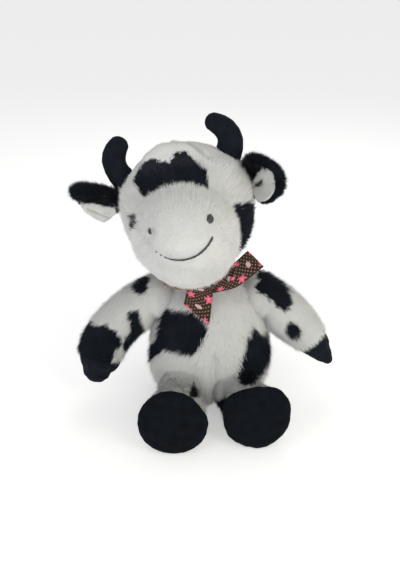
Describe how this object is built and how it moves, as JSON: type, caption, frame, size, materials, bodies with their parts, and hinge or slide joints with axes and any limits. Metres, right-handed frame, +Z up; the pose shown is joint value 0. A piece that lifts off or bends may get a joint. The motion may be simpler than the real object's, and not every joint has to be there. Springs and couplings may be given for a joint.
{
  "type": "plush cow",
  "caption": "Seated plush cow with patched fur over stuffed head, torso and limbs, velour horns, hands and soles, and a tied neck ribbon; limbs, ears, neck and tail swing.",
  "frame": {"origin": "middle of the flat of the seat, on the surface that the toy sits on", "axes": "+Z up, the toy looks along -Y, its own left side towards +X"},
  "size_m": [0.2365, 0.1689, 0.259],
  "materials": {
    "plush_white": "long pile plush, white with black patches",
    "plush_black": "long pile plush, black",
    "velour_black": "short pile velour, black",
    "velour_white": "short pile velour, white",
    "stuffing": "polyester fibre",
    "pellet_cloth": "woven cotton bag",
    "thread_black": "embroidery thread",
    "ribbon_brown": "printed satin ribbon"
  },
  "bodies": {
    "torso": {"torso_skin": "plush_white", "torso_stuffing": "stuffing", "seat_pellet_bag": "pellet_cloth", "ribbon_neck_band": "ribbon_brown", "ribbon_knot": "ribbon_brown", "ribbon_front_tail": "ribbon_brown", "ribbon_side_tail": "ribbon_brown"},
    "head": {"head_skin": "plush_white", "head_stuffing": "stuffing", "muzzle_skin": "plush_white", "muzzle_stuffing": "stuffing", "nostril_right": "thread_black", "nostril_left": "thread_black", "smile_thread": "thread_black", "horn_right": "velour_black", "horn_left": "velour_black"},
    "ear_right": {"ear_right_back": "plush_black", "ear_right_lining": "velour_white"},
    "ear_left": {"ear_left_back": "plush_black", "ear_left_lining": "velour_white"},
    "arm_right": {"arm_right_sleeve": "plush_white", "arm_right_stuffing": "stuffing", "hand_right": "velour_black"},
    "arm_left": {"arm_left_sleeve": "plush_white", "arm_left_stuffing": "stuffing", "hand_left": "velour_black"},
    "leg_right": {"leg_right_skin": "plush_white", "leg_right_stuffing": "stuffing", "sole_right": "velour_black"},
    "leg_left": {"leg_left_skin": "plush_white", "leg_left_stuffing": "stuffing", "sole_left": "velour_black"},
    "tail": {"tail_cord": "plush_white", "tail_tuft": "plush_black"}
  },
  "joints": [
    {"name": "neck_tilt", "type": "hinge", "parent": "torso", "child": "head", "pos_m": [-0.006, 0, 0.124], "axis": [0, 1, 0], "range_deg": [-9, 12], "stiffness_Nm_per_rad": 0.6, "springref_deg": 2.86},
    {"name": "ear_right_flop", "type": "hinge", "parent": "head", "child": "ear_right", "pos_m": [-0.07707, 0.00511, 0.18506], "axis": [-0.1592, -0.7314, 0.6632], "range_deg": [-25, 25], "stiffness_Nm_per_rad": 0.01},
    {"name": "ear_left_flop", "type": "hinge", "parent": "head", "child": "ear_left", "pos_m": [0.03082, 0.00463, 0.20818], "axis": [-0.2334, -0.0175, 0.9722], "range_deg": [-20, 25], "stiffness_Nm_per_rad": 0.01},
    {"name": "shoulder_right_swing", "type": "hinge", "parent": "torso", "child": "arm_right", "pos_m": [-0.044, 0, 0.096], "axis": [1, 0, 0], "range_deg": [-75, 50], "stiffness_Nm_per_rad": 0.08},
    {"name": "shoulder_left_swing", "type": "hinge", "parent": "torso", "child": "arm_left", "pos_m": [0.044, 0, 0.096], "axis": [1, 0, 0], "range_deg": [-75, 50], "stiffness_Nm_per_rad": 0.08},
    {"name": "hip_right_fold", "type": "hinge", "parent": "torso", "child": "leg_right", "pos_m": [-0.0245, -0.042, 0.021], "axis": [1, 0, 0], "range_deg": [-20, 60], "stiffness_Nm_per_rad": 0.12},
    {"name": "hip_left_fold", "type": "hinge", "parent": "torso", "child": "leg_left", "pos_m": [0.0245, -0.042, 0.021], "axis": [1, 0, 0], "range_deg": [-20, 60], "stiffness_Nm_per_rad": 0.12},
    {"name": "tail_swing", "type": "hinge", "parent": "torso", "child": "tail", "pos_m": [0, 0.0454, 0.05828], "axis": [0, 1, 0], "range_deg": [-30, 30]}
  ]
}
